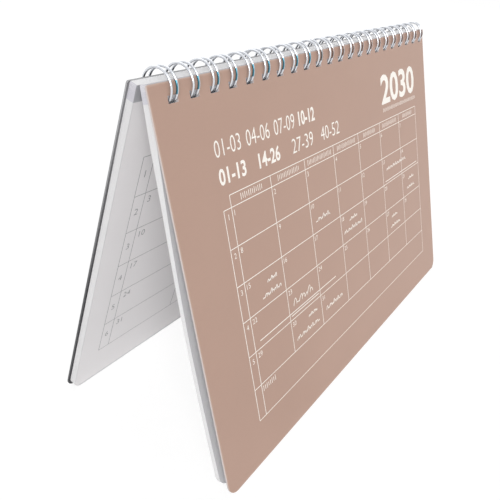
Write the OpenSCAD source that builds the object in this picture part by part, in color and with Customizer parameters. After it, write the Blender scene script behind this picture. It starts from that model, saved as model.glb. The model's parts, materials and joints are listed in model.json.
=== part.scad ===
// Desk calendar diary that stands as a tent: two packets of leaves and two covers,
// punched along the top edge and held by one closed twin-loop wire.
// Millimetres. X runs along the wire, the front faces -Y, +Z is up, and the origin lies
// on the desk under the middle of the tent.

/* [Covers] */
// Width of both covers, along the wire
cover_w = 286; // [230:1:320]
// Height of both covers, from the wire edge to the standing edge
cover_h = 188; // [150:1:230]
// Thickness of one cover
cover_t = 0.8; // [0.5:0.1:1.4]
// Radius of the corners of covers and leaves at the standing edge
corner_r = 6.5; // [2:0.5:10]
// Radius of the corners of covers and leaves at the wire edge
wire_corner_r = 0.8; // [0.4:0.1:3]

/* [Leaves] */
// Leaves turned to the front half
front_leaves = 10; // [2:1:14]
// Leaves that lie in the back half
back_leaves = 16; // [2:1:20]
// Thickness of one leaf
leaf_t = 0.1; // [0.08:0.01:0.16]
// Air between two neighbouring leaves at the wire
leaf_air = 0.11; // [0.1:0.01:0.16]
// Air between each cover and the leaf beside it, which lets the cover turn
cover_air = 0.32; // [0.3:0.02:0.6]
// How far the covers reach past the leaves at each side
side_overhang = 1; // [0.5:0.25:3]
// How far the covers reach past the leaves at the standing edge
foot_overhang = 2.5; // [1:0.25:6]

/* [Stance] */
// Lean of both covers from upright
lean = 16.3; // [12:0.1:24]
// Angle between the front cover and the leaf behind it: the front leaves hang more upright
front_slack = 1.4; // [0.2:0.1:2]
// Spread of each packet of leaves, from its first leaf to its last, in degrees
fan = 0.1; // [0:0.05:0.5]

/* [Wire] */
// Least distance from the side of a cover to the middle of the last loop of a centred row
row_margin = 9; // [8:0.5:14]
// How far the row of loops sits off the middle of the covers, to the right
row_shift = 3; // [0:0.5:3]
// Distance from one twin loop to the next
loop_pitch = 12.7; // [11:0.1:13]
// Diameter of the wire
wire_d = 1.1; // [0.8:0.05:1.3]
// Distance between the two wires of one loop, centre to centre
twin_gap = 3.4; // [2.8:0.1:4.4]
// Height of the loop centre above the place where the wire crosses the covers
wire_drop = 4.85; // [4:0.05:6]
// Space from the loop centre to the innermost leaf of the thicker packet
spine_gap = 1.23; // [1.1:0.01:2.5]
// Air between the loop tips and the base of the wire in the closed seam
seam_air = 0.3; // [0.2:0.05:0.5]
// Radius of the bends at the base of each loop
base_bend_r = 1.2; // [0.9:0.05:1.5]
// How much thinner the wire is where it is bent tightly
bend_thinning = 0.04; // [0.02:0.01:0.08]
// Length of the cut wire left at each end of the row
end_stub = 1.6; // [0.5:0.1:3]

/* [Punching] */
// Air between the wire and the holes, above and below
hole_air = 0.35; // [0.25:0.05:0.6]
// Air between the wire and the holes, at the sides
hole_side_air = 0.6; // [0.3:0.05:0.8]
// Material left between the holes and the wire edge
edge_strip = 5.15; // [3:0.05:5.5]

/* [Hidden] */
corner_steps = 6;
section_facets = 24;
loop_facets = 96;
bend_facets = 48;

loop_count = floor((cover_w - 2 * row_margin) / loop_pitch) + 1;

sheet_pitch = leaf_t + leaf_air;
packet_leaves = max(front_leaves, back_leaves);

// Offsets are measured outwards from the loop centre, square to the covers
leaf_out = spine_gap + packet_leaves * sheet_pitch - leaf_air;
cover_in = leaf_out + cover_air;
cover_out = cover_in + cover_t;
front_in = leaf_out + leaf_air - front_leaves * sheet_pitch;
back_in = leaf_out + leaf_air - back_leaves * sheet_pitch;

// Depths are measured down the sheet from the loop centre
wire_r = wire_d / 2;
loop_r = norm([cover_out, wire_drop]);
hole_top = sqrt(pow(loop_r - wire_r, 2) - pow(cover_out, 2)) - hole_air;
hole_foot = sqrt(pow(loop_r + wire_r, 2) - pow(spine_gap, 2)) + hole_air;
hole_w = twin_gap + wire_d + 2 * hole_side_air;
sheet_top = hole_top - edge_strip;
cover_foot = sheet_top + cover_h;
leaf_foot = cover_foot - foot_overhang;
leaf_w = cover_w - 2 * side_overhang;

// The covers stand on their lower inside edges
axis_z = cover_foot * cos(lean) - cover_in * sin(lean);

// Angles round the loop run from the back, over the top, to the front: the seam lies
// midway between the two packets when the tent is folded shut
seam_front = 180 + acos(front_in / loop_r);
seam_back = 360 - acos(back_in / loop_r);
seam_half = (wire_d + seam_air) / loop_r * 90 / PI;
seam_mid = (seam_front + seam_back) / 2;
hairpin_r = twin_gap / 2;
loop_start = seam_mid + seam_half + atan(base_bend_r / loop_r);
loop_end = seam_mid - seam_half - atan(hairpin_r / loop_r) + 360;
bar_reach = hairpin_r + base_bend_r;
bend_d = wire_d - bend_thinning;
bend_run_on = 0.12;

function two_digits(i) = str(i < 10 ? "0" : "", i);
function front_name(i) = str("front_leaf_", two_digits(i));
function back_name(i) = str("back_leaf_", two_digits(i));
function loop_x(i) = row_shift + (i - (loop_count - 1) / 2) * loop_pitch;

// Points of one corner of radius r about [x, y], counter-clockwise from an angle
function corner(x, y, r, from) = [
    for (step = [0:corner_steps])
        let (a = from + 90 * step / corner_steps)
        [x + r * cos(a), y + r * sin(a)]
];

// Outline of a sheet with its wire edge at the top and the loop centre at y = 0
function sheet_outline(w, foot) =
    let (
        top_x = w / 2 - wire_corner_r,
        top_y = -sheet_top - wire_corner_r,
        foot_x = w / 2 - corner_r,
        foot_y = corner_r - foot
    )
    concat(
        corner(top_x, top_y, wire_corner_r, 0),
        corner(-top_x, top_y, wire_corner_r, 90),
        corner(-foot_x, foot_y, corner_r, 180),
        corner(foot_x, foot_y, corner_r, 270)
    );

// A flat punched sheet, its outer face at height out
module sheet(w, foot, out, thick) {
    translate([0, 0, out - thick])
        linear_extrude(thick)
            difference() {
                polygon(sheet_outline(w, foot));
                for (i = [0:loop_count - 1])
                    translate([loop_x(i) - hole_w / 2, -hole_foot])
                        square([hole_w, hole_foot - hole_top]);
            }
}

// Hangs a flat sheet on the loops, leaning towards the front
module hang_front(angle) {
    translate([0, 0, axis_z])
        rotate([90 - angle, 0, 0])
            children();
}

// Hangs a flat sheet on the loops, leaning towards the back
module hang_back(angle) {
    mirror([0, 1, 0])
        hang_front(angle)
            children();
}

module front_cover() {
    color([0.72, 0.61, 0.55])
        hang_front(lean)
            sheet(cover_w, cover_foot, cover_out, cover_t);
}

module back_cover() {
    color([0.18, 0.18, 0.19])
        hang_back(lean)
            sheet(cover_w, cover_foot, cover_out, cover_t);
}

// Leaf 1 lies against the front cover
module front_leaf(i) {
    color([0.95, 0.95, 0.96])
        hang_front(lean - front_slack - fan * (i - 1) / front_leaves)
            sheet(leaf_w, leaf_foot, leaf_out - (i - 1) * sheet_pitch, leaf_t);
}

// Leaf 1 faces the inside of the tent, the last one lies against the back cover
module back_leaf(i) {
    from_cover = back_leaves + 1 - i;
    color([0.93, 0.93, 0.94])
        hang_back(lean - fan * from_cover / back_leaves)
            sheet(leaf_w, leaf_foot, leaf_out - (from_cover - 1) * sheet_pitch, leaf_t);
}

// A length of wire of diameter d, bent to radius r between two angles
module bent_wire(d, r, from, sweep, facets) {
    rotate_extrude(angle = sweep, start = from, $fn = facets)
        translate([r, 0])
            circle(d = d, $fn = section_facets);
}

// A tight bend, drawn thinner by the bending, that runs on into the wire at both ends
module tight_bend(r, from, sweep) {
    run_on = bend_run_on / r * 180 / PI;
    bent_wire(bend_d, r, from - run_on, sweep + 2 * run_on, bend_facets);
}

// Stands at an angle on the loop: x along the row, y back down the loop, z outwards
module on_loop(angle) {
    rotate([angle - 90, 0, 0])
        translate([0, 0, loop_r])
            children();
}

// One twin loop: two wires round the leaves, joined by a hairpin at the tip,
// with a bend at the base of each wire that leads to the neighbouring loops
module twin_loop() {
    for (side = [-1, 1])
        translate([side * hairpin_r, 0, 0])
            rotate([90, 0, 90])
                bent_wire(wire_d, loop_r, loop_start, loop_end - loop_start, loop_facets);
    on_loop(loop_end)
        tight_bend(hairpin_r, 180, 180);
    on_loop(loop_start) {
        translate([bar_reach, 0, 0])
            tight_bend(base_bend_r, 90, 90);
        translate([-bar_reach, 0, 0])
            tight_bend(base_bend_r, 0, 90);
    }
}

// A straight base bar that starts at x
module base_bar(x, length) {
    on_loop(loop_start)
        translate([x, base_bend_r, 0])
            rotate([0, 90, 0])
                cylinder(h = length, d = wire_d, $fn = section_facets);
}

// One continuous wire: twin loops side by side, joined by base bars along the seam
module wire_binding() {
    color([0.78, 0.79, 0.81])
        translate([0, 0, axis_z]) {
            for (i = [0:loop_count - 1])
                translate([loop_x(i), 0, 0])
                    twin_loop();
            for (i = [0:1:loop_count - 2])
                base_bar(loop_x(i) + bar_reach, loop_pitch - 2 * bar_reach);
            base_bar(loop_x(0) - bar_reach - end_stub, end_stub);
            base_bar(loop_x(loop_count - 1) + bar_reach, end_stub);
        }
}

wire_binding();
front_cover();
back_cover();
for (i = [1:front_leaves])
    front_leaf(i);
for (i = [1:back_leaves])
    back_leaf(i);
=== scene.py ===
import json
import math

import bmesh
import bpy
from mathutils import Matrix, Vector


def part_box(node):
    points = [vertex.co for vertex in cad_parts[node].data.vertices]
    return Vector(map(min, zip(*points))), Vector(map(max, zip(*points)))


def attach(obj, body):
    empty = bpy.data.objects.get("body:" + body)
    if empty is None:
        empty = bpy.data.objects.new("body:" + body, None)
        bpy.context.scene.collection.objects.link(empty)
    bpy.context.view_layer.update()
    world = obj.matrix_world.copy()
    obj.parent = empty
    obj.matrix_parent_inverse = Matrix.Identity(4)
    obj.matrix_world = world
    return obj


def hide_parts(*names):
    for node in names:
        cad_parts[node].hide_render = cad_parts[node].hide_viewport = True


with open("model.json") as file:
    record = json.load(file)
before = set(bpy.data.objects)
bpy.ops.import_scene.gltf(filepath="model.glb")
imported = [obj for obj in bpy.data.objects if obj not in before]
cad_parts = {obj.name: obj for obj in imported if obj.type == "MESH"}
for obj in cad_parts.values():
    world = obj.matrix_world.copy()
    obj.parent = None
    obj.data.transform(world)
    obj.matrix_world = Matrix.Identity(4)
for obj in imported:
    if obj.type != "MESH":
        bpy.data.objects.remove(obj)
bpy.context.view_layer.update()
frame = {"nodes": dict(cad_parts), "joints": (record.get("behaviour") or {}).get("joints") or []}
scene = bpy.context.scene
mm = 0.001
tiny = 0.01 * mm  # closer points count as one place
weekDays = 7
ringAxis = Vector(frame["joints"][0]["pos_m"])  # every sheet turns about the middle of the loops
wireThick = 1.1 * mm
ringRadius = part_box("wire_binding")[1].z - ringAxis.z - wireThick / 2  # to the middle of the wire
mapName = "sheetMap"  # metres across the sheet, and metres down from its wire edge

# Camera at the photograph's viewpoint, for a square picture
photoCamera = {
    "place": (-0.29200, -0.14985, 0.23110),
    "right": (0.57131, -0.81665, 0.08175),
    "up": (0.34887, 0.33182, 0.87647),
    "lens": 40.80,
    "sensor": 36,
    "shiftY": -0.0170,
    "clipStart": 5 * mm,
}


def addCamera():
    right = Vector(photoCamera["right"]).normalized()
    up = Vector(photoCamera["up"]).normalized()
    data = bpy.data.cameras.new("photoCamera")
    data.sensor_width = photoCamera["sensor"]
    data.lens = photoCamera["lens"]
    data.shift_y = photoCamera["shiftY"]
    data.clip_start = photoCamera["clipStart"]
    data.dof.use_dof = False
    camera = bpy.data.objects.new("photoCamera", data)
    turn = Matrix((right, up, right.cross(up))).transposed().to_4x4()
    camera.matrix_world = Matrix.Translation(photoCamera["place"]) @ turn
    scene.collection.objects.link(camera)
    scene.camera = camera


addCamera()
print("camera placed")


# Node helpers

def addNode(tree, kind, **settings):
    node = tree.nodes.new(kind)
    for name, value in settings.items():
        setattr(node, name, value)
    return node


def feed(tree, socket, value):
    if isinstance(value, bpy.types.NodeSocket):
        tree.links.new(value, socket)
    else:
        socket.default_value = value


def mathNode(tree, operation, *values, clamp=False):
    node = addNode(tree, "ShaderNodeMath", operation=operation, use_clamp=clamp)
    for socket, value in zip(node.inputs, values):
        feed(tree, socket, value)
    return node.outputs[0]


def mixColour(tree, factor, first, second, blend="MIX"):
    node = addNode(tree, "ShaderNodeMix", data_type="RGBA", blend_type=blend)
    feed(tree, node.inputs["Factor"], factor)
    feed(tree, node.inputs[6], first)
    feed(tree, node.inputs[7], second)
    return node.outputs[2]


def noiseNode(tree, place, scale, detail, roughness=0.5):
    node = addNode(tree, "ShaderNodeTexNoise")
    feed(tree, node.inputs["Vector"], place)
    feed(tree, node.inputs["Scale"], scale)
    node.inputs["Detail"].default_value = detail
    node.inputs["Roughness"].default_value = roughness
    return node.outputs[0]


def fade(tree, value, start, end, shape="SMOOTHSTEP"):
    node = addNode(tree, "ShaderNodeMapRange", interpolation_type=shape)
    feed(tree, node.inputs["Value"], value)
    node.inputs["From Min"].default_value = start
    node.inputs["From Max"].default_value = end
    return node.outputs[0]


def startGroup(name, inputs, outputs):
    tree = bpy.data.node_groups.new(name, "ShaderNodeTree")
    for label, kind, value in inputs:
        socket = tree.interface.new_socket(name=label, in_out="INPUT", socket_type=kind)
        if value is not None:
            socket.default_value = value
    for label, kind in outputs:
        tree.interface.new_socket(name=label, in_out="OUTPUT", socket_type=kind)
    return tree, tree.nodes.new("NodeGroupInput").outputs, tree.nodes.new("NodeGroupOutput").inputs


def placeGroup(tree, group, **values):
    node = addNode(tree, "ShaderNodeGroup", node_tree=group)
    for label, value in values.items():
        feed(tree, node.inputs[label], value)
    return node.outputs


# Shared effects: the fibre of card and paper, and the rim of a sheet, rubbed on the covers and a painted
# shade along the rims of the pages

fibreLook = {
    "stretch": (0.35, 1.0, 1.0),  # fibres lie along the wire
    "detail": 4.0, "roughness": 0.6,
    "cloudScale": 0.03, "cloudDetail": 2.0,  # wide, faint clouds
}
rimRubAndShadeLook = {"reach": 0.8 * mm, "patchScale": 160.0, "patchDetail": 4.0, "patchRoughness": 0.65}


def buildFibre():
    tree, given, out = startGroup(
        "paperFibre",
        [("Place", "NodeSocketVector", None), ("Grain", "NodeSocketFloat", None),
         ("Contrast", "NodeSocketFloat", None)],
        [("Tone", "NodeSocketFloat"), ("Height", "NodeSocketFloat")],
    )
    stretch = addNode(tree, "ShaderNodeVectorMath", operation="MULTIPLY")
    tree.links.new(given["Place"], stretch.inputs[0])
    stretch.inputs[1].default_value = fibreLook["stretch"]
    fibre = noiseNode(tree, stretch.outputs[0], given["Grain"], fibreLook["detail"], fibreLook["roughness"])
    cloudGrain = mathNode(tree, "MULTIPLY", given["Grain"], fibreLook["cloudScale"])
    cloud = noiseNode(tree, given["Place"], cloudGrain, fibreLook["cloudDetail"])
    both = mathNode(tree, "ADD", fibre, cloud)
    swing = mathNode(tree, "MULTIPLY", mathNode(tree, "SUBTRACT", both, 1.0), given["Contrast"])
    tree.links.new(mathNode(tree, "ADD", swing, 1.0), out["Tone"])
    tree.links.new(fibre, out["Height"])
    return tree


def buildEdgeRub():
    tree, given, out = startGroup(
        "rimRubAndShade",
        [("Sheet", "NodeSocketVector", None), ("Half Width", "NodeSocketFloat", None),
         ("Height", "NodeSocketFloat", None), ("Reach", "NodeSocketFloat", rimRubAndShadeLook["reach"])],
        [("Mask", "NodeSocketFloat")],
    )
    part = addNode(tree, "ShaderNodeSeparateXYZ")
    tree.links.new(given["Sheet"], part.inputs[0])
    across = mathNode(tree, "SUBTRACT", given["Half Width"], mathNode(tree, "ABSOLUTE", part.outputs[0]))
    below = mathNode(tree, "SUBTRACT", given["Height"], part.outputs[1])
    inset = mathNode(tree, "MINIMUM", across, mathNode(tree, "MINIMUM", below, part.outputs[1]))
    patchy = noiseNode(tree, given["Sheet"], rimRubAndShadeLook["patchScale"], rimRubAndShadeLook["patchDetail"],
                       rimRubAndShadeLook["patchRoughness"])
    # The noise swings about one half, so twice its value swings about 1
    reach = mathNode(tree, "MULTIPLY", given["Reach"], mathNode(tree, "MULTIPLY", patchy, 2.0))
    near = mathNode(tree, "DIVIDE", inset, reach)
    tree.links.new(mathNode(tree, "SUBTRACT", 1.0, near, clamp=True), out["Mask"])
    return tree


paperFibre = buildFibre()
rimRubAndShade = buildEdgeRub()


def startMaterial(name):
    material = bpy.data.materials.new(name)
    material.use_nodes = True
    tree = material.node_tree
    shader = tree.nodes["Principled BSDF"]
    place = addNode(tree, "ShaderNodeTexCoord").outputs["Object"]
    return material, tree, shader, place


def roughen(tree, shader, height, strength, distance):
    bump = addNode(tree, "ShaderNodeBump")
    bump.inputs["Strength"].default_value = strength
    bump.inputs["Distance"].default_value = distance
    tree.links.new(height, bump.inputs["Height"])
    tree.links.new(bump.outputs[0], shader.inputs["Normal"])


def varyRoughness(tree, shader, height, low, high):
    spread = addNode(tree, "ShaderNodeMapRange")
    spread.inputs["To Min"].default_value = low
    spread.inputs["To Max"].default_value = high
    tree.links.new(height, spread.inputs["Value"])
    tree.links.new(spread.outputs[0], shader.inputs["Roughness"])


# Card, paper and ink finishes: colours are linear

paperLook = {"specular": 0.35, "bumpHeight": 0.05 * mm, "wireEdgePaintedLightDepth": 0.05 * mm}
finishes = {
    "coverLaminate": {"colour": (0.474, 0.314, 0.250), "rubAndRimShade": (0.66, 0.52, 0.45), "rubAndRimShadeShare": 0.5,
                      "grain": 1100.0, "contrast": 0.06, "rough": (0.40, 0.56), "bump": 0.10},
    "coverLining": {"colour": (0.86, 0.83, 0.80), "rubAndRimShade": (0.60, 0.55, 0.51), "rubAndRimShadeShare": 0.3,
                    "grain": 900.0, "contrast": 0.06, "rough": (0.60, 0.75), "bump": 0.15},
    "cardCore": {"colour": (0.60, 0.53, 0.51), "grain": 2600.0, "contrast": 0.18,
                 "rough": (0.75, 0.92), "bump": 0.35},
    "backBoard": {"colour": (0.050, 0.050, 0.054), "rubAndRimShade": (0.13, 0.13, 0.135), "rubAndRimShadeShare": 0.6,
                  "grain": 1000.0, "contrast": 0.25, "rough": (0.55, 0.75), "bump": 0.20},
    "backLining": {"colour": (0.050, 0.050, 0.054), "rubAndRimShade": (0.13, 0.13, 0.135), "rubAndRimShadeShare": 0.6,
                   "grain": 1000.0, "contrast": 0.25, "rough": (0.55, 0.75), "bump": 0.20,
                   # painted light: the lining is paler towards the wire
                   "paintedLightTop": (0.26, 0.26, 0.27), "paintedLightDepth": 110 * mm},
    "backBoardEdge": {"colour": (0.10, 0.10, 0.105), "grain": 2600.0, "contrast": 0.30,
                      "rough": (0.75, 0.92), "bump": 0.35,
                      # painted light: the rim is paler towards the wire
                      "paintedLightTop": (0.40, 0.40, 0.41), "paintedLightDepth": 110 * mm},
    # painted shade: the rub colour of the pages darkens their rims
    "leafPaper": {"colour": (0.84, 0.822, 0.828), "rubAndRimShade": (0.55, 0.55, 0.57), "rubAndRimShadeShare": 0.5,
                  "grain": 1300.0, "contrast": 0.03, "rough": (0.62, 0.78), "bump": 0.08,
                  "band": (0.42, 0.42, 0.44), "bandDepth": 7.2 * mm},
    # painted light: faces inside a packet are paler, and their band is paler and starts lower, so the gaps
    # between leaves look lit
    "packedPaperPaintedLight": {"colour": (0.90, 0.89, 0.895), "grain": 1300.0, "contrast": 0.03,
                    "rough": (0.62, 0.78), "bump": 0.08,
                    "band": (0.80, 0.795, 0.82), "bandTop": 2.6 * mm, "bandDepth": 7.2 * mm},
    # painted shade: the outer face of the first leaf is grey for the shade between it and the cover
    "paintedShadeFirstPage": {"colour": (0.575, 0.57, 0.59), "rubAndRimShade": (0.55, 0.55, 0.57), "rubAndRimShadeShare": 0.4,
                  "grain": 1300.0, "contrast": 0.04, "rough": (0.62, 0.78), "bump": 0.08},
    "leafEdge": {"colour": (0.735, 0.73, 0.735), "grain": 2400.0, "contrast": 0.08,
                 "rough": (0.78, 0.92), "bump": 0.2, "band": (0.60, 0.59, 0.64), "bandDepth": 7.2 * mm,
                 # painted light: the top edges at the wire are near white
                 "wireEdgePaintedLight": (0.96, 0.96, 0.965)},
    "creamInk": {"colour": (0.985, 0.945, 0.885), "grain": 1500.0, "contrast": 0.08,
                 "rough": (0.42, 0.58), "bump": 0.05},
    "greyInk": {"colour": (0.30, 0.30, 0.31), "grain": 1500.0, "contrast": 0.12,
                "rough": (0.55, 0.70), "bump": 0.05},
}
rimSheet = {  # the sheet whose rim each rubbed or rim-shaded finish follows
    "coverLaminate": "front_cover", "coverLining": "front_cover",
    "backBoard": "back_cover", "backLining": "back_cover",
    "leafPaper": "front_leaf_01", "paintedShadeFirstPage": "front_leaf_01",
}


def sheetFinish(name):
    look = finishes[name]
    material, tree, shader, place = startMaterial(name)
    fibre = placeGroup(tree, paperFibre, Place=place, Grain=look["grain"], Contrast=look["contrast"])
    colour = (*look["colour"], 1)
    onSheet = addNode(tree, "ShaderNodeUVMap", uv_map=mapName).outputs[0]
    down = addNode(tree, "ShaderNodeSeparateXYZ")
    tree.links.new(onSheet, down.inputs[0])
    if "band" in look:
        inBand = mathNode(tree, "LESS_THAN", down.outputs[1], look["bandDepth"])
        if "bandTop" in look:
            inBand = mathNode(tree, "MULTIPLY", inBand,
                              mathNode(tree, "GREATER_THAN", down.outputs[1], look["bandTop"]))
        colour = mixColour(tree, inBand, colour, (*look["band"], 1))
    # painted light: the top edge at the wire is paler than the rest of the rim
    if "wireEdgePaintedLight" in look:
        onLitWireEdge = mathNode(tree, "LESS_THAN", down.outputs[1], paperLook["wireEdgePaintedLightDepth"])
        colour = mixColour(tree, onLitWireEdge, colour, (*look["wireEdgePaintedLight"], 1))
    if "paintedLightTop" in look:  # painted light: paler towards the wire
        paintedLightShare = fade(tree, down.outputs[1], look["paintedLightDepth"], 0.0, "LINEAR")
        colour = mixColour(tree, paintedLightShare, colour, (*look["paintedLightTop"], 1))
    # rubbed card on the covers; on the pages, a painted shade along the rims
    if "rubAndRimShade" in look:
        size = measureSheet(rimSheet[name])
        rubAndRimShade = placeGroup(tree, rimRubAndShade, Sheet=onSheet, Height=size["foot"] - size["top"],
                         **{"Half Width": size["half"]})
        share = mathNode(tree, "MULTIPLY", rubAndRimShade["Mask"], look["rubAndRimShadeShare"])
        colour = mixColour(tree, share, colour, (*look["rubAndRimShade"], 1))
    tree.links.new(mixColour(tree, 1.0, colour, fibre["Tone"], "MULTIPLY"), shader.inputs["Base Color"])
    varyRoughness(tree, shader, fibre["Height"], *look["rough"])
    roughen(tree, shader, fibre["Height"], look["bump"], paperLook["bumpHeight"])
    shader.inputs["Specular IOR Level"].default_value = paperLook["specular"]
    return material


def meshOf(holder):
    graph = bpy.context.evaluated_depsgraph_get()
    return bpy.data.meshes.new_from_object(holder.evaluated_get(graph))


# Sheets: covers and leaves are rebuilt on the places that the frame gives them

holeZone = 15 * mm  # every hole lies nearer than this to the loop centre


def sideOf(name):
    return -1 if name.startswith("front") else 1


def measureSheet(name):
    mesh = frame["nodes"][name].data
    side = sideOf(name)
    face = max(mesh.polygons, key=lambda polygon: polygon.area)
    out = face.normal.copy()
    if out.y * side < 0:
        out.negate()
    down = Vector((0, side * out.z, -abs(out.y)))
    spots = [(v.co.x, (v.co - ringAxis).dot(down), (v.co - ringAxis).dot(out)) for v in mesh.vertices]
    half = max(x for x, depth, level in spots)
    top = min(depth for x, depth, level in spots)
    foot = max(depth for x, depth, level in spots)
    flatTop = max(x for x, depth, level in spots if depth < top + tiny)
    flatFoot = max(x for x, depth, level in spots if depth > foot - tiny)
    punched = [s for s in spots if top + tiny < s[1] < holeZone and abs(s[0]) < flatTop - tiny]
    return {
        "out": out, "down": down, "half": half, "top": top, "foot": foot,
        "outer": max(level for x, depth, level in spots),
        "inner": min(level for x, depth, level in spots),
        "topCorner": half - flatTop, "footCorner": half - flatFoot,
        "holeTop": min(s[1] for s in punched),
        "holeFoot": max(s[1] for s in punched),
        "holeEdges": sorted({round(s[0] / tiny) * tiny for s in punched}),
    }


sheetBuild = {
    "cornerRows": 7,  # rows that follow a rounded corner
    "rowStep": 8 * mm,  # spacing of the rows that let a leaf bow
    "rowGap": 0.005 * mm,  # rows nearer than this are one row
    "leafThick": {"front": 0.185 * mm, "back": 0.150 * mm},  # leaves fill most of the space between them
    "bow": {"front": 2.8 * mm, "back": 0.0},  # of a whole packet, towards the inside of the tent
    "bowShape": 1.1,
    # How far the outermost and the innermost leaf hang inwards near the wire
    "loose": {"front": (-0.34 * mm, 1.2 * mm), "back": (-0.26 * mm, 0.0)},
    "looseDepth": 14 * mm, "looseReach": 30 * mm,
    "topRise": {"front": 0.5 * mm, "back": 0.0},  # the turned leaves ride a little high on the wire
    "footDrop": {"front": 0.0, "back": 1.1 * mm},  # the leaves of the back half hang a little low
    "holeAir": {"cover": (0.3 * mm, 0.3 * mm), "leaf": (0.12 * mm, 0.36 * mm)},  # above and below the wires
    "leafHoleInset": 0.45 * mm,  # at each side
    "leafFill": 0.36,  # how much of the space between spread leaves their edges fill at the wire
    "inkBottom": -0.006 * mm,
    "inkTop": {True: 0.02 * mm, False: 0.01 * mm},  # thinner on the faces inside a packet
    "coverBevel": 0.16 * mm, "bevelSteps": 2, "bevelAngle": 50,
}
finishIndex = {"outer": 0, "inner": 1, "rim": 2, "ink": 3}  # order of the finishes on a sheet
leafNames = sorted(n for n in frame["nodes"] if "_leaf_" in n)
leafCount = {half: sum(n.startswith(half) for n in leafNames) for half in ("front", "back")}


def hangOf(name):
    if "_leaf_" not in name:
        return 0.0, 0.0, 0.0
    half, number = name.split("_")[0], int(name[-2:])
    fromCover = number - 1 if half == "front" else leafCount[half] - number
    outermost, innermost = sheetBuild["loose"][half]
    step = (innermost - outermost) / (leafCount[half] - 1)
    return sheetBuild["bow"][half], outermost + step * fromCover, step * sheetBuild["leafFill"]


def sheetPlacer(name, size):
    bow, loose, fill = hangOf(name)
    hung = size["holeFoot"]
    thick = size["outer"] - size["inner"]

    def place(x, depth, level):
        share = min(max((depth - hung) / (size["foot"] - hung), 0.0), 1.0)
        sag = bow * math.sin(math.pi * share) ** sheetBuild["bowShape"]
        offPeak = (depth - size["top"] - sheetBuild["looseDepth"]) / sheetBuild["looseReach"]
        sag += (loose + fill * (size["outer"] - level) / thick) * math.exp(-offPeak ** 2)
        return ringAxis + Vector((x, 0, 0)) + size["down"] * depth + size["out"] * (level - sag)

    return place


def sheetRows(size):
    steps = sheetBuild["cornerRows"]
    arc = [1 - math.cos(math.pi / 2 * i / steps) for i in range(steps + 1)]
    rows = [size["top"] + a * size["topCorner"] for a in arc]
    rows += [size["foot"] - a * size["footCorner"] for a in arc]
    rows += [size["holeTop"], size["holeFoot"]]
    start, end = size["holeFoot"], size["foot"] - size["footCorner"]
    count = round((end - start) / sheetBuild["rowStep"])
    rows += [start + (end - start) * i / count for i in range(1, count)]
    kept = []
    for row in sorted(rows):
        if not kept or row - kept[-1] > sheetBuild["rowGap"]:
            kept.append(row)
    return kept


def sideLimit(size, depth):
    fromTop, fromFoot = depth - size["top"], size["foot"] - depth
    radius = size["topCorner"] if fromTop < fromFoot else size["footCorner"]
    short = max(radius - min(fromTop, fromFoot), 0.0)
    return size["half"] - radius + math.sqrt(max(radius ** 2 - short ** 2, 0.0))


def sheetShell(size):
    rows = sheetRows(size)
    width = len(size["holeEdges"]) + 2
    spots, faces, finish = [], [], []
    for level in (size["outer"], size["inner"]):
        for depth in rows:
            edge = sideLimit(size, depth)
            spots += [(x, depth, level) for x in (-edge, *size["holeEdges"], edge)]
    layer = len(rows) * width

    def punched(row, column):
        middle = (rows[row] + rows[row + 1]) / 2
        return size["holeTop"] < middle < size["holeFoot"] and column % 2 == 1

    def isSheet(row, column):
        return 0 <= row < len(rows) - 1 and 0 <= column < width - 1 and not punched(row, column)

    for row in range(len(rows) - 1):
        for column in range(width - 1):
            if not isSheet(row, column):
                continue
            a = row * width + column
            b, c, d = a + 1, a + width + 1, a + width
            faces += [(a, d, c, b), (a + layer, b + layer, c + layer, d + layer)]
            finish += [finishIndex["outer"], finishIndex["inner"]]
            rims = ((a, b, row - 1, column), (b, c, row, column + 1),
                    (c, d, row + 1, column), (d, a, row, column - 1))
            for p, q, nextRow, nextColumn in rims:
                if not isSheet(nextRow, nextColumn):
                    faces.append((p, q, q + layer, p + layer))
                    finish.append(finishIndex["rim"])
    return spots, faces, finish


# Printing: shapes on a sheet are drawn in metres, x from the middle and v down from the wire edge

glyphLook = {
    "steps": 3, "extrude": 0.5, "merge": 0.0005,
    "weight": {True: 0.023, False: -0.008},  # bold and light strokes
}
glyphs = {}


def glyphShape(text, bold):
    key = (text, bold)
    if key not in glyphs:
        curve = bpy.data.curves.new("glyph", "FONT")
        curve.body = text
        curve.resolution_u = glyphLook["steps"]
        curve.extrude = glyphLook["extrude"]
        curve.offset = glyphLook["weight"][bold]
        holder = bpy.data.objects.new("glyph", curve)
        scene.collection.objects.link(holder)
        mesh = meshOf(holder)
        bm = bmesh.new()
        bm.from_mesh(mesh)
        bmesh.ops.remove_doubles(bm, verts=bm.verts, dist=glyphLook["merge"])
        bmesh.ops.recalc_face_normals(bm, faces=bm.faces)
        points = [tuple(v.co) for v in bm.verts]
        faces = [tuple(v.index for v in f.verts) for f in bm.faces]
        bm.free()
        bpy.data.meshes.remove(mesh)
        bpy.data.objects.remove(holder)
        bpy.data.curves.remove(curve)
        low = min(p[1] for p in points)
        high = max(p[1] for p in points)
        left = min(p[0] for p in points)
        tall = high - low
        points = [((x - left) / tall, (y - low) / tall, z > 0) for x, y, z in points]
        glyphs[key] = (points, faces, max(p[0] for p in points))
    return glyphs[key]


tickHeights = (1.0, 0.8, 1.0, 0.7, 0.9)  # shares of a tick's full height, in turn


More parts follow.
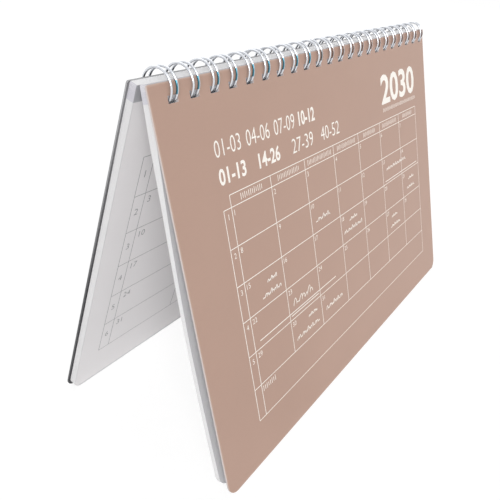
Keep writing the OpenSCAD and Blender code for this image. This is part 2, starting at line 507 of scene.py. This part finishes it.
class InkPad:
    def __init__(self):
        self.points = []
        self.faces = []

    def number(self, text, height, x, v, align=0.0, bold=False, wide=1.0):
        points, faces, width = glyphShape(str(text), bold)
        start = len(self.points)
        left = x - align * width * height * wide
        self.points += [(left + px * height * wide, v + (1 - py) * height, up) for px, py, up in points]
        self.faces += [tuple(start + i for i in f) for f in faces]

    def ticks(self, count, height, x, v, step, width, align=0.0):
        left = x - align * (count - 1) * step
        for i in range(count):
            short = height * (1 - tickHeights[i % len(tickHeights)]) / 2
            self.stroke([(left + i * step, v + short), (left + i * step, v + height - short)], width)

    def stroke(self, path, width, closeEvery=None):
        if closeEvery:
            path = splitPath(path, closeEvery)
        start = len(self.points)
        last = len(path) - 1
        for i, (x, v) in enumerate(path):
            before, after = path[max(i - 1, 0)], path[min(i + 1, last)]
            along = Vector((after[0] - before[0], after[1] - before[1])).normalized() * (width / 2)
            for px, pv in ((x - along.y, v + along.x), (x + along.y, v - along.x)):
                self.points += [(px, pv, True), (px, pv, False)]
        quads = []
        for i in range(last):
            a = start + 4 * i
            b = a + 4
            quads += [(a, b, b + 2, a + 2), (a + 1, a + 3, b + 3, b + 1),
                      (a, a + 1, b + 1, b), (a + 2, b + 2, b + 3, a + 3)]
        end = start + 4 * last
        quads += [(start, start + 2, start + 3, start + 1), (end, end + 1, end + 3, end + 2)]
        self.faces += quads

    def line(self, x0, v0, x1, v1, width):
        self.stroke([(x0, v0), (x1, v1)], width, closeEvery=sheetBuild["rowStep"])


def splitPath(path, step):
    fine = [path[0]]
    for (x0, v0), (x1, v1) in zip(path, path[1:]):
        parts = max(1, math.ceil(abs(v1 - v0) / step))
        fine += [(x0 + (x1 - x0) * i / parts, v0 + (v1 - v0) * i / parts) for i in range(1, parts + 1)]
    return fine


dayTicks = (12, 14, 18, 16, 12, 16, 12)  # plain rows of ticks head the day columns


def monthGrid(pad, look, firstDay, numbered=True):
    left, week, wide = look["left"], look["weekWidth"], look["dayWidth"]
    grid = left + week
    right = grid + look["columns"] * wide
    rowTops = [look["rowTop"] + look["rowHeight"] * r for r in range(look["rows"] + 1)]
    foot = rowTops[-1]
    for v in rowTops:
        pad.line(left, v, right, v, look["line"])
    pad.line(grid, look["headTop"], right, look["headTop"], look["line"])
    for column in range(look["columns"] + 1):
        x = grid + wide * column
        pad.line(x, look["headTop"], x, foot, look["line"])
    pad.line(left, look["rowTop"], left, foot, look["line"])
    if not numbered:
        return
    for column, count in enumerate(dayTicks[:look["columns"]]):
        middle = grid + wide * (column + 0.5)
        v = (look["headTop"] + look["rowTop"] - look["tick"]) / 2
        pad.ticks(count, look["tick"], middle, v, look["tickStep"], look["line"], align=0.5)
    for row in range(look["rows"]):
        v = rowTops[row] + look["inset"]
        weekV = rowTops[row] + look["rowHeight"] * look["weekDown"] - look["figure"] / 2
        pad.number(row + 1, look["figure"], left + week / 2, weekV, align=0.5)
        for column in range(look["columns"]):
            day = row * weekDays + column - firstDay + 1
            if 1 <= day <= look["days"]:
                pad.number(day, look["figure"], grid + wide * column + look["inset"], v)


# Front cover print: months and weeks of each quarter, a year, one month's grid and a few pen marks
coverPrint = {
    "left": -112.6 * mm, "weekWidth": 5.6 * mm, "dayWidth": 32.4 * mm, "columns": weekDays, "days": 31,
    "headTop": 51.7 * mm, "rowTop": 57.3 * mm, "rowHeight": 18.2 * mm, "rows": 5, "memoHeight": 17.4 * mm,
    "line": 0.37 * mm, "figure": 2.6 * mm, "inset": 1.5 * mm, "weekDown": 0.2,
    "tick": 3.0 * mm, "tickStep": 1.5 * mm, "memoTicks": 8,
    "titleLeft": -111.8 * mm, "titleTops": (27.0 * mm, 39.2 * mm), "titleHeight": 7.4 * mm,
    "titleStep": (23 * mm, 30 * mm), "titleWide": (0.78, 0.88),
    "titles": ((("01-03", False), ("04-06", False), ("07-09", False), ("10-12", True)),
               (("01-13", True), ("14-26", True), ("27-39", False), ("40-52", False))),
    "year": "2030", "yearRight": 120.4 * mm, "yearTop": 22.6 * mm,
    "yearHeight": 19.0 * mm, "yearWide": 1.17,
    "yearTicks": 39, "yearTickTop": 43.8 * mm, "yearTick": 2.6 * mm, "yearTickLine": 0.40 * mm,
}
penLook = {
    "width": 0.46 * mm, "waveLength": 0.62, "leastWaves": 3, "waveSteps": 8,
    "lean": 0.35, "swing": 0.12,  # shares of a stroke's height
    "rise": 0.55, "riseVary": 0.45, "riseBeat": 0.37,  # some strokes stand taller
}
# Pen marks: place in day columns and week rows, length and height in millimetres
penMarks = [
    (0.55, 2.35, 8, 2.2), (0.38, 2.70, 16, 2.6), (1.15, 3.50, 20, 4.6), (1.55, 4.28, 9, 2.2),
    (1.12, 4.66, 24, 2.8), (2.15, 1.62, 16, 2.8), (2.15, 4.55, 20, 2.8), (3.35, 2.30, 10, 2.2),
    (3.10, 2.62, 24, 2.6), (5.20, 1.45, 34, 2.4), (6.35, 2.35, 10, 2.2), (6.25, 2.70, 14, 2.2),
    (5.30, 3.35, 9, 2.2), (5.22, 3.72, 16, 2.2),
]
# Pen lines: from and to in day columns, and the week row
penLines = [(0.15, 2.60, 3.80), (1.05, 1.95, 3.88), (5.10, 6.90, 1.90)]


def penScrawl(pad, x, v, length, tall):
    look = penLook
    waves = max(look["leastWaves"], round(length / (look["waveLength"] * tall)))
    steps = waves * look["waveSteps"]
    path = []
    for i in range(steps + 1):
        t = i / steps
        turn = 2 * math.pi * waves * t
        rise = look["rise"] + look["riseVary"] * math.sin(turn * look["riseBeat"] + length / mm) ** 3
        up = tall * (0.5 * rise * (1 - math.cos(turn)))
        across = x + length * t + look["lean"] * up - look["swing"] * tall * math.sin(turn)
        path.append((across, v + tall / 2 - up))
    pad.stroke(path, look["width"])


def printCover():
    pad = InkPad()
    look = coverPrint
    for row, v, step, wide in zip(look["titles"], look["titleTops"], look["titleStep"], look["titleWide"]):
        for i, (quarter, bold) in enumerate(row):
            pad.number(quarter, look["titleHeight"], look["titleLeft"] + i * step, v, bold=bold, wide=wide)
    pad.number(look["year"], look["yearHeight"], look["yearRight"], look["yearTop"], align=1.0, bold=True,
               wide=look["yearWide"])
    pad.ticks(look["yearTicks"], look["yearTick"], look["yearRight"], look["yearTickTop"], look["tickStep"],
              look["yearTickLine"], align=1.0)
    monthGrid(pad, look, firstDay=0)
    grid = look["left"] + look["weekWidth"]
    right = grid + look["columns"] * look["dayWidth"]
    memoTop = look["rowTop"] + look["rowHeight"] * look["rows"]
    memoFoot = memoTop + look["memoHeight"]
    for x in (look["left"], grid, right):
        pad.line(x, memoTop, x, memoFoot, look["line"])
    pad.line(look["left"], memoFoot, right, memoFoot, look["line"])
    pad.ticks(look["memoTicks"], look["tick"], grid + look["inset"], memoTop + look["inset"],
              look["tickStep"], look["line"])

    def inCell(column, row):
        return grid + look["dayWidth"] * column, look["rowTop"] + look["rowHeight"] * row

    for column, row, length, tall in penMarks:
        penScrawl(pad, *inCell(column, row), length * mm, tall * mm)
    for first, last, row in penLines:
        pad.line(*inCell(first, row), *inCell(last, row), penLook["width"])
    return pad


# Leaf print: the working days of one month on each face
leafPrint = {
    "left": -128.5 * mm, "weekWidth": 7 * mm, "dayWidth": 51.2 * mm, "columns": 5, "days": 31,
    "headTop": 29.2 * mm, "rowTop": 35.2 * mm, "rowHeight": 21.2 * mm, "rows": 6,
    "line": 0.28 * mm, "figure": 3.6 * mm, "inset": 2.6 * mm, "weekDown": 0.45,
    "tick": 3.0 * mm, "tickStep": 1.5 * mm,
    "titleRight": 128 * mm, "titleTop": 17 * mm, "titleHeight": 8 * mm,
    "firstDay": 5, "dayShift": 3, "months": 12,  # each month starts some days later in the week
}
# Faces that show when the tent stands or a cover is turned back carry figures
openFaces = {("front_cover", 1), ("front_leaf_01", 1), (f"front_leaf_{leafCount['front']:02d}", -1),
             ("back_leaf_01", -1), (f"back_leaf_{leafCount['back']:02d}", 1)}


def printLeaf(name, facing):
    pad = InkPad()
    look = leafPrint
    number = int(name[-2:])
    shown = (name, facing) in openFaces
    firstDay = (look["firstDay"] + look["dayShift"] * (number - 1)) % weekDays
    monthGrid(pad, look, firstDay, numbered=shown)
    if shown:
        month = f"{(number - 1) % look['months'] + 1:02d}"
        pad.number(month, look["titleHeight"], look["titleRight"], look["titleTop"], align=1.0, bold=True)
    return pad


def inkOnSheet(name, size, pad, facing):
    top = sheetBuild["inkTop"][(name, facing) in openFaces]
    # The face that looks to -Y reads left to right along +X, the other one along -X
    reads = 1 if facing * sideOf(name) < 0 else -1
    base = size["outer"] if facing > 0 else size["inner"]
    spots = []
    for x, v, up in pad.points:
        level = base + facing * (top if up else sheetBuild["inkBottom"])
        spots.append((reads * x, size["top"] + v, level))
    return spots


def snugHole(size, place, air, inset):
    depth = (size["holeTop"] + size["holeFoot"]) / 2
    levels = size["outer"], size["inner"]
    outer, inner = [(place(0, depth, level) - ringAxis).dot(size["out"]) for level in levels]
    nearWire, farWire = ringRadius - wireThick / 2, ringRadius + wireThick / 2
    return {"holeTop": math.sqrt(nearWire ** 2 - outer ** 2) - air[0],
            "holeFoot": math.sqrt(farWire ** 2 - inner ** 2) + air[1],
            "holeEdges": [x - inset if i % 2 else x + inset for i, x in enumerate(size["holeEdges"])]}


def makeSheet(name, finishNames, prints):
    size = measureSheet(name)
    half, kind = name.split("_")[:2]
    if kind == "leaf":
        size["inner"] = size["outer"] - sheetBuild["leafThick"][half]
        size["top"] -= sheetBuild["topRise"][half]
        size["foot"] += sheetBuild["footDrop"][half]
    place = sheetPlacer(name, size)
    inset = sheetBuild["leafHoleInset"] if kind == "leaf" else 0.0
    size.update(snugHole(size, place, sheetBuild["holeAir"][kind], inset))
    spots, faces, finish = sheetShell(size)
    mesh = sheetMesh(name, size, place, spots, faces, finish)
    if kind == "cover":
        mesh = bevelSheet(mesh)
    bm = bmesh.new()
    bm.from_mesh(mesh)
    for facing, pad in prints:
        joinInk(bm, size, place, inkOnSheet(name, size, pad, facing), pad)
    bm.to_mesh(mesh)
    bm.free()
    for finishName in finishNames:
        mesh.materials.append(finishOf[finishName])
    piece = bpy.data.objects.new(f"{name}_sheet", mesh)
    scene.collection.objects.link(piece)
    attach(piece, name)
    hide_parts(name)


def sheetMesh(name, size, place, spots, faces, finish):
    mesh = bpy.data.meshes.new(f"{name}_sheet")
    mesh.from_pydata([place(*s) for s in spots], [], faces)
    mesh.polygons.foreach_set("material_index", finish)
    layer = mesh.uv_layers.new(name=mapName)
    for loop in mesh.loops:
        x, depth, level = spots[loop.vertex_index]
        layer.data[loop.index].uv = (x, depth - size["top"])
    bm = bmesh.new()
    bm.from_mesh(mesh)
    bmesh.ops.recalc_face_normals(bm, faces=bm.faces)
    bm.to_mesh(mesh)
    bm.free()
    return mesh


def bevelSheet(mesh):
    holder = bpy.data.objects.new("bevelling", mesh)
    scene.collection.objects.link(holder)
    bevel = holder.modifiers.new("roundedRim", "BEVEL")
    bevel.width = sheetBuild["coverBevel"]
    bevel.segments = sheetBuild["bevelSteps"]
    bevel.limit_method = "ANGLE"
    bevel.angle_limit = math.radians(sheetBuild["bevelAngle"])
    bevel.material = finishIndex["rim"]
    done = meshOf(holder)
    name = mesh.name
    bpy.data.objects.remove(holder)
    bpy.data.meshes.remove(mesh)
    done.name = name
    return done


def joinInk(bm, size, place, spots, pad):
    layer = bm.loops.layers.uv[mapName]
    verts = [bm.verts.new(place(*s)) for s in spots]
    made = []
    for corners in pad.faces:
        face = bm.faces.new([verts[i] for i in corners])
        face.material_index = finishIndex["ink"]
        for loop, i in zip(face.loops, corners):
            loop[layer].uv = (spots[i][0], spots[i][1] - size["top"])
        made.append(face)
    bmesh.ops.recalc_face_normals(bm, faces=made)


finishOf = {finishName: sheetFinish(finishName) for finishName in finishes}
print("paper, card and ink finishes made")

makeSheet("front_cover", ["coverLaminate", "coverLining", "cardCore", "creamInk"],
          [(1, printCover())])
makeSheet("back_cover", ["backBoard", "backLining", "backBoardEdge"], [])
print("covers made")
for leafName in leafNames:
    # faces inside a packet take the paler paper, painted light in the gaps between leaves
    faces = ["leafPaper" if (leafName, facing) in openFaces else "packedPaperPaintedLight" for facing in (1, -1)]
    if leafName == "front_leaf_01":
        faces[0] = "paintedShadeFirstPage"  # the page behind the cover is painted grey, a painted shade of the gap between cover and leaves
    makeSheet(leafName, [*faces, "leafEdge", "greyInk"],
              [(facing, printLeaf(leafName, facing)) for facing in (1, -1)])
print("leaves made:", len(leafNames))


# Twin-loop wire: one round wire swept along one continuous path
wireLook = {
    "twinGap": 3.4 * mm, "seamAir": 0.3 * mm, "bendRadius": 1.2 * mm,
    "loopSteps": 56, "bendSteps": 6, "hairpinSteps": 10, "sides": 14,
}
holeEdges = measureSheet("front_cover")["holeEdges"]
loopMiddles = [(a + b) / 2 for a, b in zip(holeEdges[::2], holeEdges[1::2])]  # one twin loop in each hole


def wirePath():
    look = wireLook
    low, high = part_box("wire_binding")
    ring = ringRadius
    hairpin = look["twinGap"] / 2
    bend = look["bendRadius"]
    reach = hairpin + bend
    frontInner = measureSheet(f"front_leaf_{leafCount['front']:02d}")["inner"]
    backInner = measureSheet("back_leaf_01")["inner"]
    seam = (3 * math.pi + math.acos(frontInner / ring) - math.acos(backInner / ring)) / 2
    seamHalf = (wireThick + look["seamAir"]) / ring / 2
    start = seam + seamHalf + math.atan(bend / ring)
    end = seam - seamHalf - math.atan(hairpin / ring) + 2 * math.pi

    def onLoop(angle, x, back):
        out = Vector((0, math.cos(angle), math.sin(angle)))
        down = Vector((0, math.sin(angle), -math.cos(angle)))
        return ringAxis + Vector((x, 0, 0)) + out * ring + down * back

    def arc(first, last, steps):
        return [first + (last - first) * i / steps for i in range(steps + 1)]

    points = [onLoop(start, low.x, bend)]
    for middle in loopMiddles:
        for t in arc(math.pi / 2, 0, look["bendSteps"]):
            points.append(onLoop(start, middle - reach + bend * math.cos(t), bend * math.sin(t)))
        points += [onLoop(a, middle - hairpin, 0) for a in arc(start, end, look["loopSteps"])[1:]]
        for t in arc(math.pi, 2 * math.pi, look["hairpinSteps"])[1:]:
            points.append(onLoop(end, middle + hairpin * math.cos(t), hairpin * math.sin(t)))
        points += [onLoop(a, middle + hairpin, 0) for a in arc(end, start, look["loopSteps"])[1:]]
        for t in arc(math.pi, math.pi / 2, look["bendSteps"])[1:]:
            points.append(onLoop(start, middle + reach + bend * math.cos(t), bend * math.sin(t)))
    points.append(onLoop(start, high.x, bend))
    return points


def buildSweep():
    tree = bpy.data.node_groups.new("wireSweep", "GeometryNodeTree")
    tree.interface.new_socket(name="Path", in_out="INPUT", socket_type="NodeSocketGeometry")
    for label, kind in (("Wire Radius", "NodeSocketFloat"), ("Sides", "NodeSocketInt"),
                        ("Finish", "NodeSocketMaterial")):
        tree.interface.new_socket(name=label, in_out="INPUT", socket_type=kind)
    tree.interface.new_socket(name="Wire", in_out="OUTPUT", socket_type="NodeSocketGeometry")
    given = tree.nodes.new("NodeGroupInput").outputs
    out = tree.nodes.new("NodeGroupOutput").inputs
    section = addNode(tree, "GeometryNodeCurvePrimitiveCircle", mode="RADIUS")
    sweep = addNode(tree, "GeometryNodeCurveToMesh")
    smooth = addNode(tree, "GeometryNodeSetShadeSmooth")
    realize = addNode(tree, "GeometryNodeRealizeInstances")
    paint = addNode(tree, "GeometryNodeSetMaterial")
    tree.links.new(given["Sides"], section.inputs["Resolution"])
    tree.links.new(given["Wire Radius"], section.inputs["Radius"])
    tree.links.new(given["Path"], sweep.inputs["Curve"])
    tree.links.new(section.outputs["Curve"], sweep.inputs["Profile Curve"])
    sweep.inputs["Fill Caps"].default_value = True
    tree.links.new(sweep.outputs[0], smooth.inputs["Geometry"])
    tree.links.new(smooth.outputs[0], realize.inputs[0])
    tree.links.new(realize.outputs[0], paint.inputs["Geometry"])
    tree.links.new(given["Finish"], paint.inputs["Material"])
    tree.links.new(paint.outputs[0], out["Wire"])
    return tree


wireFinish = {
    # painted reflection: teal on the inner sides of the twin wires, brown along the far half of the row
    "colour": (0.76, 0.78, 0.82), "paintedReflection": (0.014, 0.19, 0.27), "dull": (0.50, 0.52, 0.56),
    "paintedReflectionShare": 0.9, "paintedReflectionFoot": -1.8 * mm, "paintedReflectionTop": 3.7 * mm,  # heights from the loop centre
    "paintedReflectionSide": 0.15 * mm, "paintedReflectionBlur": 0.25 * mm,
    "farPaintedReflection": (0.20, 0.13, 0.10), "farFrom": -27 * mm, "farTo": -8 * mm,  # along the row
    "drawGrain": 700.0, "drawDetail": 4.0, "drawRoughness": 0.6,  # drawing marks
    "dullShare": 0.35, "rough": (0.16, 0.30), "bump": 0.06, "bumpHeight": 0.02 * mm,
}


def wireMaterial():
    material, tree, shader, place = startMaterial("wireSteel")
    part = addNode(tree, "ShaderNodeSeparateXYZ")
    tree.links.new(place, part.inputs[0])
    half = (loopMiddles[1] - loopMiddles[0]) / 2
    along = mathNode(tree, "SUBTRACT", part.outputs[0], loopMiddles[0])
    fromMiddle = mathNode(tree, "ABSOLUTE", mathNode(tree, "WRAP", along, half, -half))
    marks = noiseNode(tree, place, wireFinish["drawGrain"], wireFinish["drawDetail"],
                      wireFinish["drawRoughness"])
    paintedLightTop = mathNode(tree, "MULTIPLY", marks, wireFinish["dullShare"])
    steel = mixColour(tree, paintedLightTop, (*wireFinish["colour"], 1), (*wireFinish["dull"], 1))
    # A painted reflection on the inner sides of the twin wires, in front of the cover: teal, and brown
    # along the far half
    side = wireLook["twinGap"] / 2 - wireFinish["paintedReflectionSide"]
    top, foot = ringAxis.z + wireFinish["paintedReflectionTop"], ringAxis.z + wireFinish["paintedReflectionFoot"]
    blur = wireFinish["paintedReflectionBlur"]
    paintedReflectionMask = mathNode(tree, "LESS_THAN", part.outputs[1], ringAxis.y)
    masks = [
        fade(tree, fromMiddle, side + blur / 2, side - blur / 2),
        fade(tree, part.outputs[2], top, top - blur),
        fade(tree, part.outputs[2], foot, foot + blur),
        wireFinish["paintedReflectionShare"],
    ]
    for mask in masks:
        paintedReflectionMask = mathNode(tree, "MULTIPLY", paintedReflectionMask, mask)
    far = fade(tree, part.outputs[0], wireFinish["farFrom"], wireFinish["farTo"])
    paintedReflection = mixColour(tree, far, (*wireFinish["paintedReflection"], 1), (*wireFinish["farPaintedReflection"], 1))
    tree.links.new(mixColour(tree, paintedReflectionMask, steel, paintedReflection), shader.inputs["Base Color"])
    shader.inputs["Metallic"].default_value = 1.0
    varyRoughness(tree, shader, marks, *wireFinish["rough"])
    roughen(tree, shader, marks, wireFinish["bump"], wireFinish["bumpHeight"])
    return material


def makeWire():
    points = wirePath()
    curve = bpy.data.curves.new("wirePath", "CURVE")
    curve.dimensions = "3D"
    spline = curve.splines.new("POLY")
    spline.points.add(len(points) - 1)
    for spot, point in zip(spline.points, points):
        spot.co = (*point, 1)
    holder = bpy.data.objects.new("wirePath", curve)
    scene.collection.objects.link(holder)
    sweep = holder.modifiers.new("wireSweep", "NODES")
    sweep.node_group = buildSweep()
    values = {"Wire Radius": wireThick / 2, "Sides": wireLook["sides"], "Finish": wireMaterial()}
    for item in sweep.node_group.interface.items_tree:
        if item.in_out == "INPUT" and item.name in values:
            sweep[item.identifier] = values[item.name]
    mesh = meshOf(holder)
    bpy.data.objects.remove(holder)
    bpy.data.curves.remove(curve)
    piece = bpy.data.objects.new("twin_loop_wire", mesh)
    scene.collection.objects.link(piece)
    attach(piece, "wire")
    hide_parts("wire_binding")


makeWire()
print("wire swept")


# Studio: pale floor, soft light, white backdrop
studio = {
    "ambient": 0.44, "backdrop": 1.0, "white": (1.0, 1.0, 1.0),
    "keyTurn": (63, 0, -54), "keyStrength": 2.1, "keySpread": 40,
    "fillTurn": (45, 0, 140), "fillStrength": 0.6, "fillSpread": 60,
    "floorSize": 6.0, "floorColour": (0.96, 0.96, 0.96), "floorWhite": 0.72, "floorGlow": 1.12,
}


def seenDirectly(tree):
    path = addNode(tree, "ShaderNodeLightPath")
    seen = mathNode(tree, "MAXIMUM", path.outputs["Is Camera Ray"], path.outputs["Is Glossy Ray"])
    return mathNode(tree, "MAXIMUM", seen, path.outputs["Is Transmission Ray"])


def addWorld():
    world = bpy.data.worlds.new("studioWorld")
    world.use_nodes = True
    scene.world = world
    tree = world.node_tree
    tree.nodes.clear()
    glow = addNode(tree, "ShaderNodeBackground")
    glow.inputs["Color"].default_value = (*studio["white"], 1)
    glow.inputs["Strength"].default_value = studio["ambient"]
    white = addNode(tree, "ShaderNodeBackground")
    white.inputs["Color"].default_value = (*studio["white"], 1)
    white.inputs["Strength"].default_value = studio["backdrop"]
    mix = addNode(tree, "ShaderNodeMixShader")
    tree.links.new(seenDirectly(tree), mix.inputs[0])
    tree.links.new(glow.outputs[0], mix.inputs[1])
    tree.links.new(white.outputs[0], mix.inputs[2])
    tree.links.new(mix.outputs[0], addNode(tree, "ShaderNodeOutputWorld").inputs["Surface"])


def addFloor():
    half = studio["floorSize"] / 2
    mesh = bpy.data.meshes.new("studioFloor")
    corners = [(-half, -half, 0), (half, -half, 0), (half, half, 0), (-half, half, 0)]
    mesh.from_pydata(corners, [], [(0, 1, 2, 3)])
    floor = bpy.data.objects.new("studioFloor", mesh)
    scene.collection.objects.link(floor)
    material = bpy.data.materials.new("floorPaper")
    material.use_nodes = True
    tree = material.node_tree
    tree.nodes.clear()
    matt = addNode(tree, "ShaderNodeBsdfDiffuse")
    matt.inputs["Color"].default_value = (*studio["floorColour"], 1)
    white = addNode(tree, "ShaderNodeEmission")
    white.inputs["Strength"].default_value = studio["floorGlow"]
    share = mathNode(tree, "MULTIPLY", seenDirectly(tree), studio["floorWhite"])
    mix = addNode(tree, "ShaderNodeMixShader")
    tree.links.new(share, mix.inputs[0])
    tree.links.new(matt.outputs[0], mix.inputs[1])
    tree.links.new(white.outputs[0], mix.inputs[2])
    tree.links.new(mix.outputs[0], addNode(tree, "ShaderNodeOutputMaterial").inputs["Surface"])
    mesh.materials.append(material)


def addLamps():
    for name in ("key", "fill"):
        lamp = bpy.data.lights.new(f"{name}Light", "SUN")
        lamp.energy = studio[f"{name}Strength"]
        lamp.angle = math.radians(studio[f"{name}Spread"])
        holder = bpy.data.objects.new(f"{name}Light", lamp)
        holder.rotation_euler = [math.radians(a) for a in studio[f"{name}Turn"]]
        scene.collection.objects.link(holder)


addWorld()
addFloor()
addLamps()
scene.view_settings.view_transform = "Standard"
print("studio lit")
